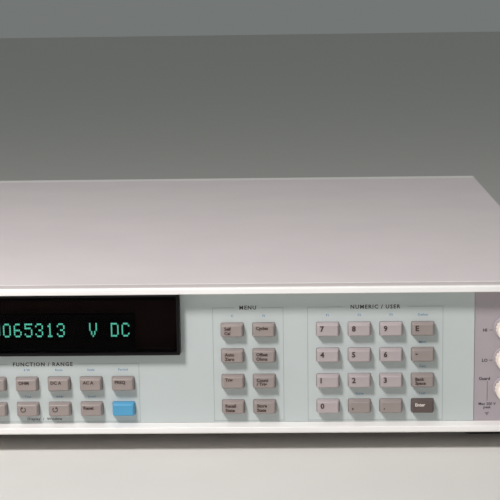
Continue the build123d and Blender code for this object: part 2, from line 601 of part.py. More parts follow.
# ---------------------------------------------------------------------------------------------------
# Rear frame: casting with a web set into it that is the rear panel, cut for the fan and connectors.
# ---------------------------------------------------------------------------------------------------
SLOT_COUNT = 2 * math.floor(FAN_BORE_R / SLOT_PITCH) + 1
JACK_PLACES = [(JACK_LEFT + i * JACK_PITCH, BASE_Z + JACK_HEIGHT) for i in range(JACK_COUNT)]
with BuildPart() as rear_frame:
    with BuildSketch(upright(BACK_Y)):
        with Locations((0, MID_Z)):
            RectangleRounded(WIDTH, FRAME_HEIGHT, FRAME_CORNER)
    extrude(amount=FRAME_DEPTH)
    for pocket_y, pocket_depth in (
        (BACK_Y, REAR_SETBACK),
        (REAR_Y - REAR_THICK, FRAME_DEPTH - REAR_SETBACK - REAR_THICK),
    ):
        with BuildSketch(upright(pocket_y)):
            with Locations((0, MID_Z)):
                Rectangle(OPENING_WIDTH, OPENING_HEIGHT)
        extrude(amount=pocket_depth, mode=Mode.SUBTRACT)
    with BuildSketch(upright(BACK_Y - FRAME_SHOWN)):
        with Locations((0, MID_Z)):
            Rectangle(WIDTH + REBATE, FRAME_HEIGHT + REBATE)
            Rectangle(WIDTH - 2 * REBATE, FRAME_HEIGHT - 2 * REBATE, mode=Mode.SUBTRACT)
    extrude(amount=FRAME_DEPTH - FRAME_SHOWN, mode=Mode.SUBTRACT)
    fillet(rear_frame.faces().sort_by(Axis.Y)[-1].outer_wire().edges(), FRAME_ROUND)
    with BuildSketch(upright(REAR_Y)):
        for i in range(SLOT_COUNT):
            rise = (i - (SLOT_COUNT - 1) / 2) * SLOT_PITCH
            chord = 2 * math.sqrt(FAN_BORE_R**2 - (abs(rise) + SLOT_HEIGHT / 2) ** 2)
            with Locations((FAN_X, MID_Z + rise)):
                SlotOverall(chord, SLOT_HEIGHT)
        with Locations((INLET_X, BASE_Z + INLET_HEIGHT)):
            Rectangle(INLET_BODY_WIDTH, INLET_BODY_TALL)
        with Locations((BUS_X, BASE_Z + BUS_HEIGHT)):
            Rectangle(BUS_SHELL_WIDTH, BUS_SHELL_TALL)
        with Locations(JACK_PLACES):
            Circle(JACK_R)
    extrude(amount=REAR_THICK, mode=Mode.SUBTRACT)
save(rear_frame.part, "rear_frame")

# ---------------------------------------------------------------------------------------------------
# Rear fittings: mains inlet, bus connector, coaxial jacks, fan housing and corner standoffs.
# ---------------------------------------------------------------------------------------------------
with BuildPart() as mains_inlet:
    with BuildSketch(upright(REAR_Y)):
        with Locations((INLET_X, BASE_Z + INLET_HEIGHT)):
            RectangleRounded(INLET_WIDTH, INLET_TALL, INLET_CORNER)
    extrude(amount=-INLET_FLANGE)
    with BuildSketch(upright(REAR_Y)):
        with Locations((INLET_X, BASE_Z + INLET_HEIGHT)):
            Rectangle(INLET_BODY_WIDTH, INLET_BODY_TALL)
    extrude(amount=INLET_BODY_DEPTH)
    with BuildSketch(upright(REAR_Y + INLET_FLANGE)):
        with Locations((INLET_X, BASE_Z + INLET_HEIGHT)):
            RectangleRounded(INLET_SOCKET_WIDTH, INLET_SOCKET_TALL, INLET_CORNER)
    extrude(amount=INLET_SOCKET_DEPTH, mode=Mode.SUBTRACT)

with BuildPart() as bus_connector:
    with BuildSketch(upright(REAR_Y)):
        with Locations((BUS_X, BASE_Z + BUS_HEIGHT)):
            RectangleRounded(BUS_WIDTH, BUS_TALL, INLET_CORNER)
    extrude(amount=-BUS_FLANGE)
    with BuildSketch(upright(REAR_Y)):
        with Locations((BUS_X, BASE_Z + BUS_HEIGHT)):
            Rectangle(BUS_SHELL_WIDTH, BUS_SHELL_TALL)
    extrude(amount=BUS_BODY_DEPTH)
    with BuildSketch(upright(REAR_Y + BUS_FLANGE)):
        with Locations((BUS_X, BASE_Z + BUS_HEIGHT)):
            RectangleRounded(BUS_SHELL_WIDTH, BUS_SHELL_TALL, INLET_CORNER)
    extrude(amount=-(BUS_SHELL_REACH - BUS_FLANGE))
    with BuildSketch(upright(REAR_Y + BUS_SHELL_REACH)):
        with Locations((BUS_X, BASE_Z + BUS_HEIGHT)):
            Rectangle(BUS_SHELL_WIDTH - 2 * BUS_SHELL_WALL, BUS_SHELL_TALL - 2 * BUS_SHELL_WALL)
    extrude(amount=BUS_SHELL_REACH, mode=Mode.SUBTRACT)

with BuildPart() as coaxial_jacks:
    with BuildSketch(upright(REAR_Y - JACK_TAIL)):
        with Locations(JACK_PLACES):
            Circle(JACK_R)
    extrude(amount=-(JACK_TAIL + JACK_REACH))
    with BuildSketch(upright(REAR_Y)):
        with Locations(JACK_PLACES):
            RegularPolygon(JACK_NUT_R, 6)
    extrude(amount=-JACK_NUT_THICK)
    with BuildSketch(upright(REAR_Y + JACK_REACH)):
        with Locations(JACK_PLACES):
            Circle(JACK_BORE_R)
    extrude(amount=JACK_BORE_DEPTH, mode=Mode.SUBTRACT)

FAN_BACK_Y = REAR_Y - REAR_THICK
FAN_FRONT_Y = FAN_BACK_Y - FAN_DEPTH
with BuildPart() as fan_housing:
    with BuildSketch(upright(FAN_BACK_Y)):
        with Locations((FAN_X, MID_Z)):
            Rectangle(FAN_SIZE, FAN_SIZE)
            Circle(FAN_BORE_R, mode=Mode.SUBTRACT)
    extrude(amount=FAN_DEPTH)
    with BuildSketch(upright(FAN_FRONT_Y + FAN_SPIDER)):
        with Locations((FAN_X, MID_Z)):
            Circle(FAN_HUB_R)
        for spoke in range(FAN_SPOKES):
            with Locations(Location((FAN_X, MID_Z), spoke * 360 / FAN_SPOKES)):
                with Locations((FAN_BORE_R / 2, 0)):
                    Rectangle(FAN_BORE_R + FAN_SPOKE, FAN_SPOKE)
    extrude(amount=FAN_SPIDER)
    with BuildSketch(upright(FAN_FRONT_Y)):
        with Locations((FAN_X, MID_Z)):
            Circle(FAN_SHAFT_R)
    extrude(amount=-(FAN_SPIDER + FAN_HUB_LENGTH))

with BuildPart() as standoffs:
    with BuildSketch(upright(BACK_Y)):
        with Locations((0, MID_Z)):
            with GridLocations(WIDTH - 2 * STANDOFF_INSET_X, FRAME_HEIGHT - 2 * STANDOFF_INSET_Z, 2, 2):
                Circle(STANDOFF_TIP_R)
    extrude(amount=-STANDOFF_REACH)
    with BuildSketch(upright(REAR_Y)):
        with Locations((0, MID_Z)):
            with GridLocations(WIDTH - 2 * STANDOFF_INSET_X, FRAME_HEIGHT - 2 * STANDOFF_INSET_Z, 2, 2):
                Circle(STANDOFF_R)
    extrude(amount=-REAR_SETBACK)
    fillet(standoffs.edges().group_by(Axis.Y)[-1], STANDOFF_ROUND)

save(
    Compound(
        children=[
            mains_inlet.part,
            bus_connector.part,
            coaxial_jacks.part,
            fan_housing.part,
            standoffs.part,
        ]
    ),
    "rear_fittings",
)

# ---------------------------------------------------------------------------------------------------
# Fan rotor: hub on the housing's shaft, with twisted blades.
# ---------------------------------------------------------------------------------------------------
ROTOR_FRONT_Y = FAN_FRONT_Y + FAN_SPIDER + SEAT_GAP
BLADE_START_Y = ROTOR_FRONT_Y + (FAN_HUB_LENGTH - BLADE_LENGTH) / 2
BLADE_TIP_R = FAN_BORE_R - BLADE_TIP_GAP
BLADE_ROOT_R = FAN_HUB_R - BLADE_THICK


def blade_plane(y, angle):
    """Plane across the fan's axis at depth y, its x axis turned by angle from the instrument's."""
    turn = math.radians(angle)
    return Plane(origin=(FAN_X, y, MID_Z), x_dir=(math.cos(turn), 0, math.sin(turn)), z_dir=(0, -1, 0))


with BuildPart() as fan_rotor:
    with BuildSketch(blade_plane(ROTOR_FRONT_Y, 0)):
        Circle(FAN_HUB_R)
    extrude(amount=-(FAN_HUB_LENGTH - SEAT_GAP))
    for blade in range(BLADE_COUNT):
        lead = blade * 360 / BLADE_COUNT
        for y, angle in ((BLADE_START_Y, lead), (BLADE_START_Y + BLADE_LENGTH, lead + BLADE_TWIST)):
            with BuildSketch(blade_plane(y, angle)):
                with Locations(((BLADE_ROOT_R + BLADE_TIP_R) / 2, 0)):
                    Rectangle(BLADE_TIP_R - BLADE_ROOT_R, BLADE_THICK)
        loft()
    with BuildSketch(blade_plane(ROTOR_FRONT_Y, 0)):
        Circle(FAN_SHAFT_R + FAN_RUNNING_CLEARANCE)
    extrude(amount=-FAN_HUB_LENGTH, mode=Mode.SUBTRACT)
save(fan_rotor.part, "fan_rotor")

# ---------------------------------------------------------------------------------------------------
# Feet: four moulded blocks under the bottom cover, drilled across for the tilt stands.
# ---------------------------------------------------------------------------------------------------
FOOT_X = WIDTH / 2 - FOOT_INSET_X
FOOT_SPAN = CABINET_DEPTH - 2 * FOOT_INSET_Y
FRONT_FOOT_Y = FACE_Y + FOOT_INSET_Y
PIVOT_OFFSET = STAND_PIVOT_INSET - FOOT_LENGTH / 2
with BuildPart() as feet:
    with BuildSketch(Plane.XY.offset(BASE_Z)):
        with Locations((0, FRONT_FOOT_Y + FOOT_SPAN / 2)):
            with GridLocations(2 * FOOT_X, FOOT_SPAN, 2, 2):
                RectangleRounded(FOOT_WIDTH, FOOT_LENGTH, 2 * FOOT_EDGE)
    extrude(amount=-FOOT_HEIGHT)
    chamfer(feet.edges().group_by(Axis.Z)[0], FOOT_EDGE / 2)
    with BuildSketch(Plane.YZ.offset(-WIDTH / 2)):
        for foot_y in (FRONT_FOOT_Y, FRONT_FOOT_Y + FOOT_SPAN):
            with Locations((foot_y + PIVOT_OFFSET, STAND_HEIGHT)):
                Circle(WIRE_R + WIRE_CLEARANCE)
    extrude(amount=WIDTH, mode=Mode.SUBTRACT)
save(feet.part, "feet")

# ---------------------------------------------------------------------------------------------------
# Tilt stands: a wire bail on each front foot, folded back along the foot's sides.
# ---------------------------------------------------------------------------------------------------
STAND_HALF = FOOT_WIDTH / 2 + STAND_SIDE_GAP + WIRE_R
PIVOT_Y = FRONT_FOOT_Y + PIVOT_OFFSET
STAND_END_Y = FRONT_FOOT_Y + FOOT_LENGTH / 2 + STAND_SIDE_GAP + WIRE_R
for name, foot_x in (("left", -FOOT_X), ("right", FOOT_X)):
    with BuildPart() as tilt_stand:
        pin_x = FOOT_WIDTH / 2 - STAND_PIN
        with BuildLine():
            FilletPolyline(
                (foot_x - pin_x, PIVOT_Y, STAND_HEIGHT),
                (foot_x - STAND_HALF, PIVOT_Y, STAND_HEIGHT),
                (foot_x - STAND_HALF, STAND_END_Y, STAND_HEIGHT),
                (foot_x + STAND_HALF, STAND_END_Y, STAND_HEIGHT),
                (foot_x + STAND_HALF, PIVOT_Y, STAND_HEIGHT),
                (foot_x + pin_x, PIVOT_Y, STAND_HEIGHT),
                radius=[WIRE_BEND, WIRE_CORNER, WIRE_CORNER, WIRE_BEND],
            )
        with BuildSketch(Plane(origin=(foot_x - pin_x, PIVOT_Y, STAND_HEIGHT), z_dir=(-1, 0, 0))):
            Circle(WIRE_R)
        sweep()
    save(tilt_stand.part, f"tilt_stand_{name}")

# ---------------------------------------------------------------------------------------------------
# Electronics: key board with the display tube on it, deck across the rails, main board on spacers,
# mains transformer and the screened input stage.
# ---------------------------------------------------------------------------------------------------
with BuildPart() as key_board:
    with BuildSketch(upright(KEY_BOARD_Y)):
        with Locations((KEY_BOARD_X, MID_Z)):
            Rectangle(KEY_BOARD_WIDTH, KEY_BOARD_HEIGHT)
    extrude(amount=-BOARD_THICK)

TUBE_FACE_Y = WINDOW_FACE_Y + WINDOW_PANE + TUBE_GAP
TUBE_Z = WINDOW_Z - WINDOW_HEIGHT / 2 + WINDOW_WALL + TUBE_RISE + TUBE_HEIGHT / 2
with BuildPart() as display_tube:
    with BuildSketch(upright(KEY_BOARD_Y)):
        with Locations((WINDOW_X, TUBE_Z)):
            Rectangle(TUBE_WIDTH, TUBE_HEIGHT)
    extrude(amount=KEY_BOARD_Y - TUBE_FACE_Y)

DECK_WIDTH = WIDTH - 2 * DECK_MARGIN
DECK_FRONT_Y = FACE_Y + DECK_END
DECK_LENGTH = CABINET_DEPTH - 2 * DECK_END
with BuildPart() as deck:
    with BuildSketch(Plane.XY.offset(DECK_Z)):
        with Locations((0, DECK_FRONT_Y + DECK_LENGTH / 2)):
            Rectangle(DECK_WIDTH, DECK_LENGTH)
    extrude(amount=DECK_THICK)

MAIN_BOARD_LENGTH = DECK_LENGTH - DECK_MARGIN - MAIN_BOARD_REAR_GAP
BOARD_X = DECK_WIDTH / 2 - MAIN_BOARD_WIDTH / 2 - DECK_MARGIN
BOARD_Y = DECK_FRONT_Y + DECK_MARGIN + MAIN_BOARD_LENGTH / 2
with BuildPart() as main_board:
    with BuildSketch(Plane.XY.offset(BOARD_Z)):
        with Locations((BOARD_X, BOARD_Y)):
            Rectangle(MAIN_BOARD_WIDTH, MAIN_BOARD_LENGTH)
    extrude(amount=BOARD_THICK)
    with BuildSketch(Plane.XY.offset(BOARD_Z)):
        with Locations((BOARD_X, BOARD_Y)):
            spacer_x = MAIN_BOARD_WIDTH - 2 * SPACER_INSET
            spacer_y = MAIN_BOARD_LENGTH - 2 * SPACER_INSET
            with GridLocations(spacer_x, spacer_y, 2, 2):
                Circle(SPACER_R)
    extrude(amount=-SPACER_HEIGHT)

TRANSFORMER_X = -DECK_WIDTH / 2 + DECK_MARGIN + TRANSFORMER_WIDTH / 2
TRANSFORMER_Y = DECK_FRONT_Y + DECK_LENGTH - DECK_MARGIN - TRANSFORMER_LENGTH / 2
with BuildPart() as transformer:
    with BuildSketch(Plane.XY.offset(DECK_Z + DECK_THICK)):
        with Locations((TRANSFORMER_X, TRANSFORMER_Y)):
            Rectangle(TRANSFORMER_WIDTH, TRANSFORMER_LENGTH)
    extrude(amount=TRANSFORMER_HEIGHT)

SHIELD_Y = BOARD_Y - MAIN_BOARD_LENGTH / 2 + SPACER_INSET + SHIELD_LENGTH / 2
with BuildPart() as input_shield:
    with BuildSketch(Plane.XY.offset(BOARD_Z + BOARD_THICK)):
        with Locations((BOARD_X, SHIELD_Y)):
            Rectangle(SHIELD_WIDTH, SHIELD_LENGTH)
    extrude(amount=SHIELD_HEIGHT)
    with BuildSketch(Plane.XY.offset(BOARD_Z + BOARD_THICK)):
        with Locations((BOARD_X, SHIELD_Y)):
            Rectangle(SHIELD_WIDTH - 2 * SHIELD_WALL, SHIELD_LENGTH - 2 * SHIELD_WALL)
    extrude(amount=SHIELD_HEIGHT - SHIELD_WALL, mode=Mode.SUBTRACT)

save(
    Compound(
        children=[
            key_board.part,
            display_tube.part,
            deck.part,
            main_board.part,
            transformer.part,
            input_shield.part,
        ]
    ),
    "electronics",
)
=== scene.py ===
import json
import math

import bpy
import numpy as np
from mathutils import Matrix, Vector


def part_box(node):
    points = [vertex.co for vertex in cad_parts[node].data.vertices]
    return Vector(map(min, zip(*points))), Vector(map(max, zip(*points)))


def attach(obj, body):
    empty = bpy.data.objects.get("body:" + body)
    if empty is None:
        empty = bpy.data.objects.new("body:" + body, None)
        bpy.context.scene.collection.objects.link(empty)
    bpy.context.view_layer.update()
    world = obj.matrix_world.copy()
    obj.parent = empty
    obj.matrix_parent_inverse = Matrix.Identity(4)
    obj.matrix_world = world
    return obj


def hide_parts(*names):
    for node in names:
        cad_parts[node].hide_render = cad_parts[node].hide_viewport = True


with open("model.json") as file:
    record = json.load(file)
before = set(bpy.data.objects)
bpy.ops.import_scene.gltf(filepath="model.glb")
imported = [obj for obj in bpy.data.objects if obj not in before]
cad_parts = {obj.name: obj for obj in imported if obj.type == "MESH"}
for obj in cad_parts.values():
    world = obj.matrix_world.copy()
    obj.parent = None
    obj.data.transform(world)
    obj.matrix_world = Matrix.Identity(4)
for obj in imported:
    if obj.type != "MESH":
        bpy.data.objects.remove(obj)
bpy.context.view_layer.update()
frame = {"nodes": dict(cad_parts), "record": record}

# ------------------------------------------------------------------------------------------------
# Front and rear frames. Aluminium castings, sprayed with a pale satin enamel and baked. The covers
# and rails are held between them, and a soft vinyl strip is pressed into the groove along the top.
# ------------------------------------------------------------------------------------------------
MM = 0.001
NODES = frame["nodes"]


def linear(hex_colour):
    """Linear RGBA of an sRGB hex colour: each channel c becomes ((c + 0.055) / 1.055) ** 2.4."""
    channels = [int(hex_colour[i : i + 2], 16) / 255 for i in (0, 2, 4)]
    return (*[c / 12.92 if c <= 0.04045 else ((c + 0.055) / 1.055) ** 2.4 for c in channels], 1.0)


def add_node(tree, kind, values=None, links=None, **settings):
    """Add a shader node, with its properties, socket values, and links as {input: (node, output)}."""
    node = tree.nodes.new(kind)
    for name, value in settings.items():
        setattr(node, name, value)
    for name, value in (values or {}).items():
        node.inputs[name].default_value = value
    for name, (source, output) in (links or {}).items():
        tree.links.new(source.outputs[output], node.inputs[name])
    return node


DRIFT = 40 * MM


def finish_of(name, colour, roughness, grain_mm, depth_mm, mottle=0.03, **sockets):
    """A surface whose tone drifts slightly, with a grain pressed into it.

    The tone is colour * (1 +- mottle), by a slow noise whose blobs are DRIFT long. The grain is a
    noise with blobs grain_mm across, raised by depth_mm.
    """
    material = bpy.data.materials.new(name)
    material.use_nodes = True
    tree = material.node_tree
    shader = tree.nodes["Principled BSDF"]
    shader.inputs["Roughness"].default_value = roughness
    for socket, value in sockets.items():
        shader.inputs[socket.replace("_", " ")].default_value = value
    place = add_node(tree, "ShaderNodeTexCoord")
    drift = add_node(
        tree, "ShaderNodeTexNoise", {"Scale": 1 / DRIFT, "Detail": 3.0}, {"Vector": (place, "Object")}
    )
    tone = add_node(tree, "ShaderNodeValToRGB", links={"Fac": (drift, "Fac")})
    for element, at, sign in zip(tone.color_ramp.elements, (0.3, 0.7), (-1, 1)):
        element.position = at
        element.color = [c * (1 + sign * mottle) for c in linear(colour)[:3]] + [1.0]
    tree.links.new(tone.outputs["Color"], shader.inputs["Base Color"])
    fineness = 1 / (grain_mm * MM)
    grain = add_node(
        tree, "ShaderNodeTexNoise", {"Scale": fineness, "Detail": 2.0}, {"Vector": (place, "Object")}
    )
    bump = add_node(
        tree, "ShaderNodeBump", {"Strength": 0.5, "Distance": depth_mm * MM}, {"Height": (grain, "Fac")}
    )
    tree.links.new(bump.outputs["Normal"], shader.inputs["Normal"])
    return material


def coat(material, *names):
    """Give CAD nodes their finish, by their material slots."""
    for name in names:
        for slot in NODES[name].material_slots:
            slot.material = material


def grid_faces(rows, columns, caps=True):
    """Faces of a grid of points whose last column joins the first: each square of neighbours is a
    face, and caps close the first and last rows with one face each."""
    index = np.arange(rows * columns).reshape(rows, columns)
    ring = np.concatenate([index, index[:, :1]], axis=1)
    quads = np.stack([ring[:-1, :-1], ring[1:, :-1], ring[1:, 1:], ring[:-1, 1:]], axis=-1)
    faces = quads.reshape(-1, 4).tolist()
    return faces + [index[0].tolist(), index[-1, ::-1].tolist()] if caps else faces


def surface(name, grid, material, body, caps=True, sharp=35):
    """A piece made of one grid of points, rows by columns by xyz, in metres."""
    return piece(name, grid.reshape(-1, 3), grid_faces(*grid.shape[:2], caps), material, body, sharp)


def piece(name, points, faces, material, body, sharp=35):
    """Put points and faces into a mesh and let it ride on a CAD body. Edges that turn by more than
    sharp degrees stay crisp."""
    mesh = bpy.data.meshes.new(name)
    mesh.from_pydata(np.asarray(points).tolist(), [], faces)
    mesh.materials.append(material)
    thing = bpy.data.objects.new(name, mesh)
    bpy.context.collection.objects.link(thing)
    mesh.shade_smooth()
    mesh.set_sharp_from_angle(angle=math.radians(sharp))
    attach(thing, body)
    return thing


frame_enamel = finish_of("satin_enamel_on_casting", "F4F1EE", 0.36, 0.45, 0.02)
coat(frame_enamel, "front_frame", "rear_frame")

frame_low, frame_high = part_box("front_frame")
FACE_Y = frame_low[1]
TOP_Z = frame_high[2]
BASE_Z = frame_low[2]
CHEEK = 6.0 * MM  # the frame's side walls, which the strip lies between

# The strip: a flat bar with a crowned top, carried across the frame. While t goes from 0 to pi, the
# crown runs across the width as -cos t and stands as high as the square root of sin t.
TRIM_START = FACE_Y + 2.3 * MM
TRIM_WIDTH = 9.4 * MM
TRIM_BED = TOP_Z - 1.0 * MM
TRIM_WALL = 0.75 * MM
TRIM_CROWN = 0.25 * MM
TRIM_UNDER = 0.05 * MM
TRIM_PLAY = 0.1 * MM
trim_vinyl = finish_of("embossed_vinyl", "CFC6C4", 0.6, 0.7, 0.05)
across = np.linspace(0, math.pi, 9)
crown_y = TRIM_START + TRIM_WIDTH / 2 - TRIM_WIDTH / 2 * np.cos(across)
crown_z = TRIM_BED + TRIM_WALL + TRIM_CROWN * np.sin(across) ** 0.5
section_y = np.concatenate([[TRIM_START], crown_y, [TRIM_START + TRIM_WIDTH]])
section_z = np.concatenate([[TRIM_BED + TRIM_UNDER], crown_z, [TRIM_BED + TRIM_UNDER]])
ends = np.array([frame_low[0] + CHEEK + TRIM_PLAY, frame_high[0] - CHEEK - TRIM_PLAY])
trim_grid = np.stack(np.broadcast_arrays(ends[:, None], section_y[None], section_z[None]), axis=-1)
trim = surface("top_trim", trim_grid, trim_vinyl, "cabinet")

# ------------------------------------------------------------------------------------------------
# Covers and side rails. Folded aluminium sheet and extruded channel, painted a warm pale grey with
# a fine wrinkle. A vinyl strip with a fine leather grain lies in the channel along each rail.
# ------------------------------------------------------------------------------------------------
cover_paint = finish_of("textured_paint_on_sheet", "E2D9D9", 0.50, 0.9, 0.05, 0.02)
coat(cover_paint, "top_cover", "bottom_cover", "side_rails")


def rounded_outline(width, height, radius, arc=5):
    """Points round a rectangle with quarter-circle corners, anticlockwise, as an array of x, z."""
    turn = np.linspace(0, math.pi / 2, arc)
    corners = []
    for k, (sx, sz) in enumerate(((1, 1), (-1, 1), (-1, -1), (1, -1))):
        angle = turn + k * math.pi / 2
        centre = np.array([sx * (width / 2 - radius), sz * (height / 2 - radius)])
        corners.append(centre + radius * np.stack([np.cos(angle), np.sin(angle)], axis=-1))
    return np.concatenate(corners)


rail_low, rail_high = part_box("side_rails")
rail_long = rail_high[1] - rail_low[1]
rail_mid = ((rail_low[1] + rail_high[1]) / 2, (rail_low[2] + rail_high[2]) / 2)
STRIP_TALL = 21.4 * MM
STRIP_CORNER = 1.2 * MM
STRIP_END = 1.0 * MM
# Rows from the channel's floor outwards: how far each lies inside the rail's face, and how far it is
# drawn in, which rounds the strip's edge.
STRIP_DEPTHS = np.array([0.58, 0.25, 0.10, 0.04]) * MM
STRIP_INSETS = np.array([0, 0, 0.12, 0.4]) * MM
side_vinyl = finish_of("grained_side_vinyl", "A39B96", 0.6, 1.2, 0.12)
outline = rounded_outline(rail_long - 2 * STRIP_END, STRIP_TALL, STRIP_CORNER)
for side, word in ((-1, "left"), (1, "right")):
    rows = []
    for depth, inset in zip(rail_high[0] - STRIP_DEPTHS, STRIP_INSETS):
        flat = outline * (1 - 2 * inset / np.array([rail_long, STRIP_TALL]))
        y, z = rail_mid[0] + flat[:, 0], rail_mid[1] + flat[:, 1]
        rows.append(np.stack([np.full(len(flat), side * depth), y, z], axis=-1))
    grid = np.array(rows[::-1] if side > 0 else rows)
    strip = surface(f"side_trim_{word}", grid, side_vinyl, "cabinet")

# ------------------------------------------------------------------------------------------------
# Front panel. Aluminium sheet, painted a flat cool grey, with its outlines and words screen printed
# in dark grey, brown and blue ink. The ink lies a few hundredths of a millimetre proud.
# ------------------------------------------------------------------------------------------------
panel_paint = finish_of("flat_paint_on_panel", "BCC3C2", 0.55, 0.35, 0.015, 0.015)
coat(panel_paint, "front_panel")
PANEL_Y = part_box("front_panel")[0][1]
INK_LIFT = 0.04 * MM
grey_ink = finish_of("grey_screen_ink", "9AA3A1", 0.6, 0.3, 0.005)
dark_ink = finish_of("dark_screen_ink", "2E2B2F", 0.6, 0.3, 0.005)
brown_ink = finish_of("brown_screen_ink", "45302B", 0.6, 0.3, 0.005)
blue_ink = finish_of("blue_screen_ink", "4F7FA6", 0.6, 0.3, 0.005)


def words(text, height, weight=0.0, spread=1.0):
    """Points and faces of printed words, flat, with capitals of that height and the middle of the
    words at the origin. weight thickens the strokes, and spread widens the gaps between letters."""
    curve = bpy.data.curves.new("words", "FONT")
    curve.body = text
    curve.align_x = "CENTER"
    curve.resolution_u = 2
    curve.offset = weight
    curve.space_character = spread
    thing = bpy.data.objects.new("words", curve)
    bpy.context.collection.objects.link(thing)
    mesh = bpy.data.meshes.new_from_object(thing.evaluated_get(bpy.context.evaluated_depsgraph_get()))
    points = np.empty(len(mesh.vertices) * 3)
    mesh.vertices.foreach_get("co", points)
    faces = [list(face.vertices) for face in mesh.polygons]
    bpy.data.objects.remove(thing)
    bpy.data.curves.remove(curve)
    bpy.data.meshes.remove(mesh)
    flat = points.reshape(-1, 3)[:, :2]
    middle = (flat[:, 1].min() + flat[:, 1].max()) / 2
    capital = 0.73  # a capital's height in the font's own units
    return (flat - [0, middle]) * height / capital, faces


def print_on(name, y, prints, material, body):
    """One piece from several flat prints (points, faces, x, z), stood upright at depth y."""
    points, faces, count = [], [], 0
    for flat, polygons, x, z in prints:
        points.append(np.stack([x + flat[:, 0], np.full(len(flat), y), z + flat[:, 1]], axis=-1))
        faces += [[count + corner for corner in polygon] for polygon in polygons]
        count += len(flat)
    piece(name, np.concatenate(points), faces, material, body)


def bar(x0, z0, x1, z1):
    """A printed rectangle as a flat print."""
    flat = np.array([[x0, z0], [x1, z0], [x1, z1], [x0, z1]])
    return flat, [[0, 1, 2, 3]], 0.0, 0.0


def key_place(name):
    """Middle (x, z) of a CAD node's box."""
    low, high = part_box(name)
    return ((low[0] + high[0]) / 2, (low[2] + high[2]) / 2)


LINE = 0.32 * MM  # width of a printed line


def group_outline(left, right, bottom, top, gap):
    """Printed lines round a group of keys, open in the middle of the top for its heading."""
    middle = (left + right) / 2
    return [
        bar(left, bottom, left + LINE, top),
        bar(right - LINE, bottom, right, top),
        bar(left, bottom, right, bottom + LINE),
        bar(left, top - LINE, middle - gap / 2, top),
        bar(middle + gap / 2, top - LINE, right, top),
    ]


first_function, last_function = key_place("key_dc_volts"), key_place("key_shift")
first_menu, last_menu = key_place("key_calibrate"), key_place("key_store")
first_digit, last_digit = key_place("key_7"), key_place("key_enter")
# Heading, first and last key, how far the lines stand beside and above the keys' middles, and the gap
# that is left for the heading.
GROUPS = [
    ("FUNCTION / RANGE", first_function, last_function, 9.7 * MM, 12.0 * MM, 42 * MM),
    ("MENU", first_menu, last_menu, 11.6 * MM, 13.4 * MM, 16 * MM),
    ("NUMERIC / USER", first_digit, last_digit, 12.0 * MM, 13.4 * MM, 38 * MM),
]
PANEL_FOOT = 5.0 * MM  # lowest printed line above the frame's lower edge
HEADING_TALL = 2.35 * MM
outlines, headings = [], []
for text, first, last, beside, above, gap in GROUPS:
    left, right = first[0] - beside, last[0] + beside
    top = first[1] + above
    outlines += group_outline(left, right, BASE_Z + PANEL_FOOT, top, gap)
    headings.append((*words(text, HEADING_TALL, 0.03, 1.25), (left + right) / 2, top - LINE / 2))
print_on("panel_outlines", PANEL_Y - INK_LIFT, outlines, grey_ink, "cabinet")
print_on("panel_headings", PANEL_Y - INK_LIFT, headings, dark_ink, "cabinet")

# Shifted functions in small blue words above the keys, higher over the top row of each group.
BLUE_WORDS = {
    "key_view_left": "Test", "key_view_right": "Addr", "key_reset": "Local",
    "key_calibrate": "C", "key_cycles": "N", "key_7": "F1", "key_8": "F2", "key_9": "F3",
    "key_exponent": "Define", "key_minus": "Math", "key_backspace": "Test", "key_enter": "Last",
    "key_comma": "Store", "key_ohms": "4 W", "key_dc_amps": "Ratio", "key_ac_amps": "Scale",
    "key_frequency": "Period", "key_dc_volts": "Temp", "key_ac_volts": "Sync",
}
BLUE_TALL = 1.45 * MM
BLUE_RISE, BLUE_TOP_RISE = 7.4 * MM, 8.3 * MM
blue_prints = []
for name, text in BLUE_WORDS.items():
    x, z = key_place(name)
    is_top = z > first_menu[1] - MM or abs(z - first_function[1]) < MM
    rise = BLUE_TOP_RISE if is_top else BLUE_RISE
    blue_prints.append((*words(text, BLUE_TALL, 0.015, 1.1), x, z + rise))
print_on("panel_blue_words", PANEL_Y - INK_LIFT, blue_prints, blue_ink, "cabinet")
left_arrow, right_arrow = key_place("key_view_left"), key_place("key_view_right")
arrows_mid = (left_arrow[0] + right_arrow[0]) / 2
power = key_place("power_button")
VIEW_DROP, POWER_RISE = 6.6 * MM, 9.4 * MM
view_words = [
    (*words("Display  /  Window", 1.75 * MM, 0.02, 1.1), arrows_mid, left_arrow[1] - VIEW_DROP),
    (*words("Power", 1.7 * MM, 0.01), power[0], power[1] + POWER_RISE),
]
print_on("panel_small_words", PANEL_Y - INK_LIFT, view_words, dark_ink, "cabinet")

# ------------------------------------------------------------------------------------------------
# Display. A pane of smoked acrylic in a black moulded surround, and behind it a vacuum tube whose
# characters are small teal-green dots, five across and seven down.
# ------------------------------------------------------------------------------------------------


def stacked(centre, width, height, radius, levels):
    """Grid of a block seen from the front: a rounded rectangle of that size about centre (x, z),
    drawn in by inset at each depth y, for the levels (inset, y) from back to front, in metres. The
    corners shrink by half the inset."""
    rows = []
    for inset, y in levels:
        corner = max(radius - inset * 0.5, radius * 0.3)
        outline = rounded_outline(width - 2 * inset, height - 2 * inset, corner)
        x, z = centre[0] + outline[:, 0], centre[1] + outline[:, 1]
        rows.append(np.stack([x, np.full(len(outline), y), z], axis=-1))
    return np.array(rows)[::-1]


window_low, window_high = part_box("display_window")
window_mid = ((window_low[0] + window_high[0]) / 2, (window_low[2] + window_high[2]) / 2)
window_wide, window_tall = window_high[0] - window_low[0], window_high[2] - window_low[2]
WINDOW_CORNER = 0.8 * MM
PANE = 3.0 * MM
PANE_INSET = 1.9 * MM
EDGE = 0.4 * MM

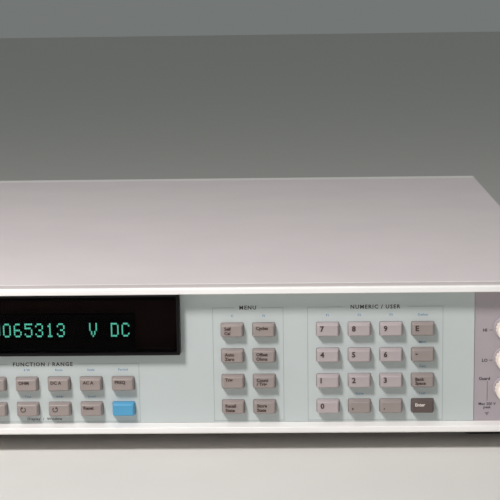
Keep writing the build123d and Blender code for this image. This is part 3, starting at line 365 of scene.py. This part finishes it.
# Bare acrylic has an index of 1.49. This window hardly mirrors the room, so its index and specular
# level are matched down to that look, as if the pane were coated. They are not measured.
smoked = bpy.data.materials.new("smoked_acrylic")
smoked.use_nodes = True
acrylic = smoked.node_tree.nodes["Principled BSDF"]
acrylic.inputs["Base Color"].default_value = (0.13, 0.075, 0.09, 1.0)
acrylic.inputs["Roughness"].default_value = 0.03
acrylic.inputs["Specular IOR Level"].default_value = 0.08
acrylic.inputs["IOR"].default_value = 1.1
acrylic.inputs["Transmission Weight"].default_value = 1.0
pane_levels = [(PANE_INSET, window_low[1] + depth) for depth in (PANE, EDGE * 1.5, 0.1 * MM)]
pane_grid = stacked(window_mid, window_wide, window_tall, WINDOW_CORNER, pane_levels)
pane = surface("window_pane", pane_grid, smoked, "cabinet")

surround_black = finish_of(
    "black_acrylic_surround", "0C090A", 0.3, 0.6, 0.004, 0.1, Specular_IOR_Level=0.15
)
SURROUND = 2.0 * MM
# Up the inner wall from the back, over the eased front edge, and down the outer wall. The first row
# is joined to the last, so that the ring is closed at the back too.
wall_levels = [
    (SURROUND, window_high[1]),
    (SURROUND, window_low[1] + EDGE),
    (SURROUND - 0.1 * MM, window_low[1] + 0.1 * MM),
    (SURROUND - EDGE, window_low[1]),
    (EDGE, window_low[1]),
    (0.12 * MM, window_low[1] + 0.12 * MM),
    (0, window_low[1] + EDGE),
    (0, window_high[1]),
]
ring = stacked(window_mid, window_wide, window_tall, WINDOW_CORNER, wall_levels)
ring = np.concatenate([ring, ring[:1]])[::-1]
surround = surface("window_surround", ring, surround_black, "cabinet", caps=False)
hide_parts("display_window")

GLYPHS = {
    "0": "01110 10001 10001 10001 10001 10001 01110",
    "1": "00100 01100 00100 00100 00100 00100 01110",
    "3": "01110 10001 00001 00110 00001 10001 01110",
    "5": "11111 10000 11110 00001 00001 10001 01110",
    "6": "01110 10000 10000 11110 10001 10001 01110",
    "V": "10001 10001 10001 10001 01010 01010 00100",
    "D": "11110 10001 10001 10001 10001 10001 11110",
    "C": "01110 10001 10000 10000 10000 10001 01110",
}
READING = "1000065313  V DC"
CELL = 6.4 * MM
LAST_CELL = -48.0 * MM  # x of the last character
DOT_STEP = np.array([4.7 * MM / 5, 8.5 * MM / 7])  # a character's width and height, over its dots
DOT_FILL = 0.84
TUBE_Y = window_low[1] + PANE + 2.2 * MM
reading_z = BASE_Z + 61.4 * MM
phosphor = bpy.data.materials.new("lit_phosphor")
phosphor.use_nodes = True
glow = phosphor.node_tree.nodes["Principled BSDF"]
glow.inputs["Base Color"].default_value = linear("1E4A3C")
glow.inputs["Emission Color"].default_value = linear("45C39A")
glow.inputs["Emission Strength"].default_value = 13.0
dots = []
for cell, character in enumerate(READING):
    cell_x = LAST_CELL - (len(READING) - 1 - cell) * CELL
    for row, bits in enumerate(GLYPHS.get(character, "").split()):
        for column, bit in enumerate(bits):
            if bit == "1":
                dots.append((cell_x + (column - 2) * DOT_STEP[0], reading_z + (3 - row) * DOT_STEP[1]))
point_x = LAST_CELL - 12.5 * CELL
dots.append((point_x, reading_z - 3 * DOT_STEP[1]))
corner = np.array([[-1, -1], [1, -1], [1, 1], [-1, 1]]) * DOT_STEP / 2 * DOT_FILL
lit_points = (np.array(dots)[:, None, :] + corner[None]).reshape(-1, 2)
lit_faces = np.arange(len(lit_points)).reshape(-1, 4).tolist()
lit_prints = [(lit_points, lit_faces, 0.0, 0.0)]
print_on("display_dots", TUBE_Y, lit_prints, phosphor, "cabinet")

tube_glass = finish_of("dark_tube_glass", "0A0C0C", 0.3, 1.0, 0.005, 0.2, Specular_IOR_Level=0.2)
TUBE_WIDE, TUBE_TALL, TUBE_CORNER = 130.6 * MM, 21.6 * MM, 1.0 * MM
tube_levels = [
    (0, window_high[1] - 0.4 * MM),
    (0, TUBE_Y + 0.75 * MM),
    (0.2 * MM, TUBE_Y + 0.35 * MM),
    (0.7 * MM, TUBE_Y + 0.15 * MM),
]
tube_mid = (window_mid[0], window_low[2] + 13.0 * MM)
tube_grid = stacked(tube_mid, TUBE_WIDE, TUBE_TALL, TUBE_CORNER, tube_levels)
tube = surface("display_tube", tube_grid, tube_glass, "cabinet")

# ------------------------------------------------------------------------------------------------
# Keys. Moulded ABS caps with a steep draft, rounded shoulders and a face dished by a finger's
# width, each with its legend printed at the upper left. Each rides on its own plunger.
# ------------------------------------------------------------------------------------------------
digit_abs = finish_of("pale_key_abs", "AEA2A3", 0.42, 0.25, 0.012)
function_abs = finish_of("tan_key_abs", "958985", 0.42, 0.25, 0.012)
shift_abs = finish_of("blue_key_abs", "4E9AC2", 0.42, 0.25, 0.012)
enter_abs = finish_of("dark_key_abs", "5A4C48", 0.42, 0.25, 0.012)
pale_ink = finish_of("pale_screen_ink", "D9CFC6", 0.6, 0.3, 0.005)
KEY_WIDE, KEY_TALL, KEY_CORNER = 13.3 * MM, 8.2 * MM, 0.95 * MM
KEY_SKIRT = 1.8 * MM  # how far a cap reaches behind the panel's face
KEY_BAND = 1.4 * MM
SHOULDER_R = 0.9 * MM
KEY_LEAN = 0.5 * MM
DISH, DISH_RIM = 0.12 * MM, 1.3 * MM


def key_levels(key_face, key_back):
    """Insets and depths of a cap from its back to its face: a straight band, a leaning side, a
    quarter-round shoulder, and a face that sinks slightly towards its middle."""
    shoulder = np.linspace(0, math.pi / 2, 6)
    levels = [(0, key_back), (0, PANEL_Y - KEY_BAND), (0.1 * MM, PANEL_Y - KEY_BAND - 0.4 * MM)]
    for angle in shoulder:
        inset = KEY_LEAN + SHOULDER_R * (1 - math.cos(angle))
        levels.append((inset, key_face + SHOULDER_R * (1 - math.sin(angle))))
    sink_from = KEY_LEAN + SHOULDER_R
    for share in (0.35, 1.0):
        levels.append((sink_from + share * DISH_RIM, key_face + share * DISH))
    return levels


LEGENDS = {
    "dc_volts": ["DC V"], "ac_volts": ["AC V"], "ohms": ["OHM"], "dc_amps": ["DC A"], "ac_amps": ["AC A"],
    "frequency": ["FREQ"], "range_down": ["Range", "Down"], "range_up": ["Range", "Up"], "reset": ["Reset"],
    "view_left": [], "view_right": [], "shift": [], "calibrate": ["Self", "Cal"], "cycles": ["Cycles"],
    "auto_zero": ["Auto", "Zero"], "offset": ["Offset", "Ohms"], "trigger": ["Trig"],
    "readings": ["Count", "/ Trig"], "recall": ["Recall", "State"], "store": ["Store", "State"],
    "exponent": ["E"], "minus": ["-"], "backspace": ["Back", "Space"], "comma": [","], "point": ["."],
    "enter": ["Enter"], **{str(digit): [str(digit)] for digit in range(10)},
}
BIG = {*"0123456789", "exponent", "minus", "comma", "point"}
BIG_TALL, SMALL_TALL = 3.2 * MM, 1.95 * MM
LEGEND_MARGIN = 2.1 * MM
KEY_PLASTICS = {
    "digit_key": digit_abs,
    "function_key": function_abs,
    "shift_key": shift_abs,
    "enter_key": enter_abs,
}
slot_of = {row["node"]: row["material_slot"] for row in frame["record"]["subparts"]}


def round_arrow(turn):
    """A printed ring, open for a fifth, with a triangular head at one end. turn is 1 or -1."""
    start_degrees, sweep_degrees = 125, 290
    angle = np.radians(np.linspace(start_degrees, start_degrees + sweep_degrees, 19))
    inner, outer = 1.15 * MM, 1.6 * MM
    ring_points = np.stack([np.cos(angle) * turn, np.sin(angle)], axis=-1)
    flat = np.concatenate([ring_points * inner, ring_points * outer])
    count = len(angle)
    faces = [[i, i + count, i + count + 1, i + 1][::turn] for i in range(count - 1)]
    tip = ring_points[0] * (inner + outer) / 2
    head = tip + np.array([[0.2 * turn, 0.85], [-0.85 * turn, -0.55], [0.75 * turn, -0.5]]) * MM
    flat = np.concatenate([flat, head])
    faces.append([2 * count, 2 * count + 1, 2 * count + 2][::turn])
    return flat, faces


for key_name, lines in LEGENDS.items():
    node = f"key_{key_name}"
    key_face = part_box(node)[0][1]
    x, z = key_place(node)
    levels = key_levels(key_face, PANEL_Y + KEY_SKIRT)
    cap_grid = stacked((x, z), KEY_WIDE, KEY_TALL, KEY_CORNER, levels)
    cap = surface(f"cap_of_{node}", cap_grid, KEY_PLASTICS[slot_of[node]], node, sharp=50)
    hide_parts(node)
    prints = []
    for row, text in enumerate(lines):
        height = BIG_TALL if key_name in BIG else SMALL_TALL
        flat, faces = words(text, height, 0.035)
        start = -KEY_WIDE / 2 + LEGEND_MARGIN - flat[:, 0].min()
        rise = 1.0 * MM if key_name in BIG else (1.45 - 2.7 * row) * MM
        if key_name in ("comma", "point"):
            rise = -0.9 * MM
        prints.append((flat, faces, x + start, z + rise))
    if key_name.startswith("view"):
        flat, faces = round_arrow(1 if key_name.endswith("left") else -1)
        prints.append((flat, faces, x - 2.4 * MM, z + 0.6 * MM))
    if prints:
        legend_ink = pale_ink if key_name == "enter" else brown_ink
        print_on(f"legend_{key_name}", key_face - INK_LIFT, prints, legend_ink, node)

# ------------------------------------------------------------------------------------------------
# Push buttons. Moulded caps on plungers: power at the lower left, and two small selectors under the
# posts. Each has a faint dished face.
# ------------------------------------------------------------------------------------------------
button_abs = finish_of("button_abs", "C2B8AE", 0.45, 0.25, 0.012)
PLATE_Y = PANEL_Y + 0.5 * MM
FLANGE = 1.0 * MM  # behind the panel, and wider than the cap by this on each side
BUTTON_SKIRT = 1.8 * MM
BUTTON_CORNER = 0.9 * MM
for node in ("power_button", "guard_button", "terminals_button"):
    low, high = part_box(node)
    side = (high[0] - low[0]) - 2 * FLANGE
    edge = min(0.9 * MM, side * 0.12)
    wall = PANEL_Y if node == "power_button" else PLATE_Y
    levels = [(0, wall + BUTTON_SKIRT), (0, low[1] + edge)]
    for angle in np.linspace(0.3, math.pi / 2, 5):
        levels.append((edge * (1 - math.cos(angle)), low[1] + edge * (1 - math.sin(angle))))
    levels.append((edge + side * 0.2, low[1] + 0.1 * MM))
    cap_grid = stacked(key_place(node), side, side, BUTTON_CORNER, levels)
    cap = surface(f"cap_of_{node}", cap_grid, button_abs, node, sharp=50)
    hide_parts(node)

# ------------------------------------------------------------------------------------------------
# Terminal plate and binding posts. A moulded insulating plate, gold-plated brass studs, and cream
# nylon caps with fine flutes.
# ------------------------------------------------------------------------------------------------
plate_abs = finish_of("mauve_grey_plate", "A79EA3", 0.5, 0.4, 0.02)
coat(plate_abs, "terminal_plate")
gold = finish_of("gold_plate_on_brass", "E2BE72", 0.22, 0.5, 0.004, 0.02, Metallic=1.0)
coat(gold, "terminal_studs")
cream_nylon = finish_of("cream_nylon", "EFE3D6", 0.35, 0.5, 0.01)
POSTS = ["sense_high", "input_high", "sense_low", "input_low", "guard", "current"]
coat(cream_nylon, *[f"cap_{name}" for name in POSTS])

LABEL_X = 11.5 * MM  # words' middle, left of the first column of posts
plate_prints = []

# Names of the left column. A short line leads from HI and from LO towards the post.
for name, text, drop in (("sense_high", "HI", 1.4), ("sense_low", "LO", 1.5), ("guard", "Guard", -5.6)):
    x, z = key_place(f"cap_{name}")
    plate_prints.append((*words(text, 1.9 * MM, 0.03), x - LABEL_X, z - drop * MM))
    if name != "guard":
        lead_x = x - LABEL_X + 2.6 * MM
        plate_prints.append(bar(lead_x, z - 1.6 * MM, lead_x + 1.8 * MM, z - 1.3 * MM))

# The rated voltage, between a long stroke above it and the three bars of an earth sign below.
x, z = key_place("cap_guard")
stroke_x = x - LABEL_X + 1.7 * MM
plate_prints.append(bar(stroke_x - 0.12 * MM, z - 8.0 * MM, stroke_x + 0.12 * MM, z + 4.1 * MM))
for text, drop in (("Max 200 V", 9.8), ("peak", 12.1)):
    plate_prints.append((*words(text, 1.7 * MM, 0.02), stroke_x, z - drop * MM))
for row, half in enumerate((1.3, 0.85, 0.4)):
    bottom = z - (15.3 + 0.7 * row) * MM
    plate_prints.append(bar(stroke_x - half * MM, bottom, stroke_x + half * MM, bottom + 0.3 * MM))

# Heads of the two columns, and the names of the two selectors.
for name, lines in (("sense_high", ("Sense", "4 W")), ("input_high", ("Input", "2 W"))):
    x, z = key_place(f"cap_{name}")
    for text, rise in zip(lines, (12.4, 9.0)):
        plate_prints.append((*words(text, 1.8 * MM, 0.02), x, z + rise * MM))
for name, text in (("guard_button", "Guard"), ("terminals_button", "Rear")):
    x, z = key_place(name)
    plate_prints.append((*words(text, 1.3 * MM, 0.01), x, z - 5.4 * MM))
print_on("plate_words", PLATE_Y - INK_LIFT, plate_prints, dark_ink, "cabinet")

# ------------------------------------------------------------------------------------------------
# Feet, tilt stands and the parts inside. Moulded black feet, stainless spring wire, and a
# passivated chassis.
# ------------------------------------------------------------------------------------------------
foot_abs = finish_of("black_foot_abs", "1B1B1C", 0.6, 0.5, 0.03, 0.1)
coat(foot_abs, "feet", "rear_fittings")
fan_abs = finish_of("black_fan_abs", "161617", 0.5, 0.5, 0.01, 0.1)
coat(fan_abs, "fan_rotor")
wire = finish_of("stainless_wire", "C8C9CA", 0.28, 0.3, 0.003, 0.03, Metallic=1.0)
coat(wire, "tilt_stand_left", "tilt_stand_right")
chassis = finish_of("passivated_chassis", "A9A58F", 0.45, 2.0, 0.01, 0.08, Metallic=0.8)
coat(chassis, "electronics")

# ------------------------------------------------------------------------------------------------
# Rear panel. Words are printed in dark ink, and pan-head screws with cross recesses hold the fan and
# the standoffs. The heads are zinc-plated steel.
# ------------------------------------------------------------------------------------------------
nickel = finish_of("bright_nickel", "C9C6BE", 0.22, 0.4, 0.003, 0.03, Metallic=1.0)
zinc = finish_of("zinc_plated_steel", "B9BABD", 0.34, 0.5, 0.005, 0.05, Metallic=1.0)
rear_low, rear_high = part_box("rear_frame")
REAR_Y = rear_high[1] - 4.0 * MM
BACK_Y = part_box("rear_fittings")[1][1]
STANDOFF_INSET = 15.0 * MM
INLET = (rear_high[0] - 47.7 * MM, BASE_Z + 32.0 * MM)
BUS = (INLET[0] - 110.0 * MM, BASE_Z + 58.0 * MM)
JACKS = [(INLET[0] - (117.0 + 28.0 * step) * MM, BASE_Z + 25.0 * MM) for step in (-1, 0, 1)]
FAN = key_place("fan_rotor")
FAN_SCREWS = (35.75 * MM, 35.0 * MM)
rear_mid_z = (rear_low[2] + rear_high[2]) / 2
rear_half_tall = (rear_high[2] - rear_low[2]) / 2


def joined(name, grids, material, sharp=35):
    """One static piece from several closed grids, each as surface takes them."""
    points, faces, count = [], [], 0
    for grid in grids:
        points.append(grid.reshape(-1, 3))
        faces += [[count + corner for corner in face] for face in grid_faces(*grid.shape[:2])]
        count += grid.shape[0] * grid.shape[1]
    piece(name, np.concatenate(points), faces, material, "cabinet", sharp)


def turned(centre, profile, sides=28):
    """Grid of a form turned about an axis along Y through centre (x, z). The profile's rows are
    (radius, y), in millimetres, with y from the rear panel, and start at the form's inner end."""
    angle = np.linspace(0, 2 * math.pi, sides, endpoint=False)
    radius, y = (np.array(profile) * MM).T[:, :, None]
    x = centre[0] + radius * np.cos(angle)
    return np.stack([x, np.broadcast_to(REAR_Y + y, x.shape), centre[1] + radius * np.sin(angle)], -1)


def screw_head(centre, seat, radius, sides=40):
    """Grid of a pan head: a disc whose edge is a quarter round, sunk by a smooth cross recess.

    At radius r and angle a, the distance to the nearest arm is r * min(|sin a|, |cos a|), and the
    face sinks by a step that falls off round the arm's half width.
    """
    tall, round_edge = 1.6, 0.7
    arm_half, arm_fade, cross_deep = 0.32, 0.06, 0.7
    edge = [(radius, 0.0)]
    for t in np.linspace(0, math.pi / 2, 5):
        edge.append((radius - round_edge * (1 - math.cos(t)), tall - round_edge * (1 - math.sin(t))))
    shares = (0.85, 0.7, 0.6, 0.5, 0.4, 0.3, 0.2, 0.1, 0.02)
    rows = np.array(edge + [(share * (radius - round_edge), tall) for share in shares])
    angle = np.linspace(0, 2 * math.pi, sides, endpoint=False)
    arm = rows[:, :1] * np.minimum(np.abs(np.sin(angle)), np.abs(np.cos(angle)))
    inside = (rows[:, :1] < 0.65 * radius) & (rows[:, 1:2] > tall - 0.1)
    sink = np.where(inside, cross_deep / (1 + np.exp((arm - arm_half) / arm_fade)), 0.0)
    x = centre[0] + rows[:, :1] * MM * np.cos(angle)
    z = centre[1] + rows[:, :1] * MM * np.sin(angle)
    return np.stack([x, seat + (rows[:, 1:2] - sink) * MM, z], axis=-1)


heads = []
for across in (-1, 1):
    for rise in (-1, 1):
        fan_corner = (FAN[0] + across * FAN_SCREWS[0], FAN[1] + rise * FAN_SCREWS[1])
        heads.append(screw_head(fan_corner, REAR_Y, 2.9))
        corner_x = across * (rear_high[0] - STANDOFF_INSET)
        corner_z = rear_mid_z + rise * (rear_half_tall - STANDOFF_INSET)
        heads.append(screw_head((corner_x, corner_z), BACK_Y - 1.7 * MM, 3.4))
joined("rear_screws", heads, zinc)

# Words with their connector and how many millimetres above it they stand. They are read from
# behind, so x is turned about.
REAR_WORDS = [("LINE", INLET, 17.0), ("BUS", BUS, 12.0)]
REAR_WORDS += [(text, place, -11.5) for text, place in zip(("TRIG", "OUT", "SYNC"), JACKS)]
rear_prints = []
for text, (x, z), rise in REAR_WORDS:
    flat, faces = words(text, 2.4 * MM, 0.03, 1.2)
    rear_prints.append((flat * [-1, 1], faces, x, z + rise * MM))
print_on("rear_words", REAR_Y + INK_LIFT, rear_prints, dark_ink, "cabinet")

# ------------------------------------------------------------------------------------------------
# Rear connectors. The inlet has three plated blades, the bus connector a tongue of gilt contacts and
# two jackscrews, and each jack a plated barrel with bayonet lugs round a white insulator and a pin.
# ------------------------------------------------------------------------------------------------
insulator = finish_of("white_insulator", "E6E2D6", 0.4, 0.5, 0.005)


def from_rear(*levels):
    """Levels (inset, y) in millimetres, with y from the rear panel, as stacked takes them."""
    return [(inset * MM, REAR_Y + y * MM) for inset, y in levels]


blade_levels = from_rear((0.6, -1.5), (0.1, -2.6), (0, -3.4), (0, -14.4))
blades = []
for across, rise in ((-7.0, -1.6), (0.0, 1.8), (7.0, -1.6)):
    middle = (INLET[0] + across * MM, INLET[1] + rise * MM)
    blades.append(stacked(middle, 2.0 * MM, 4.0 * MM, 0.3 * MM, blade_levels))
joined("inlet_blades", blades, nickel)

tongue_levels = from_rear((0.5, 6.6), (0.1, 6.2), (0, 5.6), (0, 0.05))
joined("bus_tongue", [stacked(BUS, 41.0 * MM, 3.6 * MM, 0.6 * MM, tongue_levels)], insulator)
contact_levels = from_rear((0.15, 6.1), (0, 5.8), (0, 0.1))
CONTACT_STEP, CONTACT_RISE = 3.1 * MM, 1.9 * MM
contacts = []
for step in range(12):
    for rise in (-1, 1):
        middle = (BUS[0] + (step - 5.5) * CONTACT_STEP, BUS[1] + rise * CONTACT_RISE)
        contacts.append(stacked(middle, 1.3 * MM, 0.5 * MM, 0.12 * MM, contact_levels))
joined("bus_contacts", contacts, gold)
jackscrew = [(2.9, 2.5), (2.9, 6.2), (2.5, 6.5), (1.5, 6.5), (1.4, 6.3), (1.4, 3.4)]
JACKSCREW_X = 28.6 * MM
jackscrews = [turned((BUS[0] + side * JACKSCREW_X, BUS[1]), jackscrew, 6) for side in (-1, 1)]
joined("bus_jackscrews", jackscrews, nickel, 25)

barrel = [(4.87, 2.6), (4.87, 11.8), (4.65, 12.04), (3.75, 12.04), (3.54, 11.85), (3.54, 3.2)]
nut = [(7.08, 0.02), (7.08, 2.3), (6.6, 2.68), (4.8, 2.68)]
sleeve = [(2.9, 3.25), (2.9, 8.0), (2.7, 8.2), (1.1, 8.2)]
pin = [(0.7, 8.1), (0.7, 10.4), (0.45, 10.8), (0.1, 10.9)]
lug_profile = [(0.95, 0.0), (0.95, 1.0), (0.7, 1.2), (0.1, 1.25)]
LUG_FOOT, LUG_Y = 4.8 * MM, 8.6 * MM
joined("jack_barrels", [turned(place, barrel) for place in JACKS], nickel)
joined("jack_nuts", [turned(place, nut, 6) for place in JACKS], nickel, 25)
joined("jack_insulators", [turned(place, sleeve) for place in JACKS], insulator)
joined("jack_pins", [turned(place, pin, 14) for place in JACKS], gold)

# A lug is turned about Y at the origin and then laid along Z, outwards from its barrel.
lugs = []
for x, z in JACKS:
    for side in (-1, 1):
        lug = turned((0, 0), lug_profile, 14) - [0, REAR_Y, 0]
        rise = z + side * (LUG_FOOT + lug[..., 1])
        lugs.append(np.stack([x + side * lug[..., 0], REAR_Y + LUG_Y - lug[..., 2], rise], axis=-1))
joined("jack_lugs", lugs, nickel)

# ------------------------------------------------------------------------------------------------
# The bench, the light and the camera. A small light high on the left gives the shadows, and a broad
# one by the camera and a pale room fill them.
# ------------------------------------------------------------------------------------------------
bench_cloth = finish_of("pale_bench", "DAD8D3", 0.8, 0.8, 0.02, 0.01)
mesh = bpy.data.meshes.new("bench_top")
REACH = 6.0
corners = [(-REACH, -REACH, 0), (REACH, -REACH, 0), (REACH, REACH, 0), (-REACH, REACH, 0)]
mesh.from_pydata(corners, [], [(0, 1, 2, 3)])
mesh.materials.append(bench_cloth)
bench = bpy.data.objects.new("bench_top", mesh)
bpy.context.collection.objects.link(bench)

world = bpy.data.worlds.new("room")
bpy.context.scene.world = world
world.use_nodes = True
sky = world.node_tree.nodes["Background"]
sky.inputs["Color"].default_value = (0.86, 0.92, 0.90, 1.0)
sky.inputs["Strength"].default_value = 0.20

FRONT = np.array([0.0, FACE_Y, BASE_Z + 44 * MM])  # the middle of the face


def soft_light(name, place, target, size, power, colour):
    """A square area light of that side in metres and power in watts at place, aimed at target."""
    light = bpy.data.lights.new(name, "AREA")
    light.size = size
    light.energy = power
    light.color = colour
    lamp = bpy.data.objects.new(name, light)
    bpy.context.collection.objects.link(lamp)
    towards = Vector(target) - Vector(place)
    lamp.matrix_world = Matrix.Translation(place) @ towards.to_track_quat("-Z", "Y").to_matrix().to_4x4()


soft_light("window_light", FRONT + [-0.38, -0.60, 0.84], FRONT, 0.22, 12.0, (1.0, 0.97, 0.97))
soft_light("room_light", FRONT + [0.9, -2.2, 0.35], FRONT, 1.6, 5.0, (0.93, 1.0, 0.99))

# The camera stands 0.86 m in front of the face and 5 cm right of its middle, looks down by 10.3
# degrees, and has a focal length of some three times the sensor's width.
PITCH, YAW, ROLL = math.radians(10.304), math.radians(-1.6726), math.radians(-0.8357)
forward = np.array([math.sin(YAW) * math.cos(PITCH), math.cos(YAW) * math.cos(PITCH), -math.sin(PITCH)])
level = np.array([math.cos(YAW), -math.sin(YAW), 0.0])
upward = np.cross(level, forward)
right_of = level * math.cos(ROLL) + upward * math.sin(ROLL)
up_of = upward * math.cos(ROLL) - level * math.sin(ROLL)
lens = bpy.data.cameras.new("camera")
lens.sensor_width = 36.0
lens.lens = 3.0394 * lens.sensor_width
camera = bpy.data.objects.new("camera", lens)
bpy.context.collection.objects.link(camera)
place = np.array([51.70, -862.91, 279.15]) * MM + [0, FACE_Y, 0]
camera.matrix_world = Matrix(
    [[right_of[i], up_of[i], -forward[i], place[i]] for i in range(3)] + [[0, 0, 0, 1]]
)
bpy.context.scene.camera = camera
bpy.context.scene.view_settings.view_transform = "Standard"
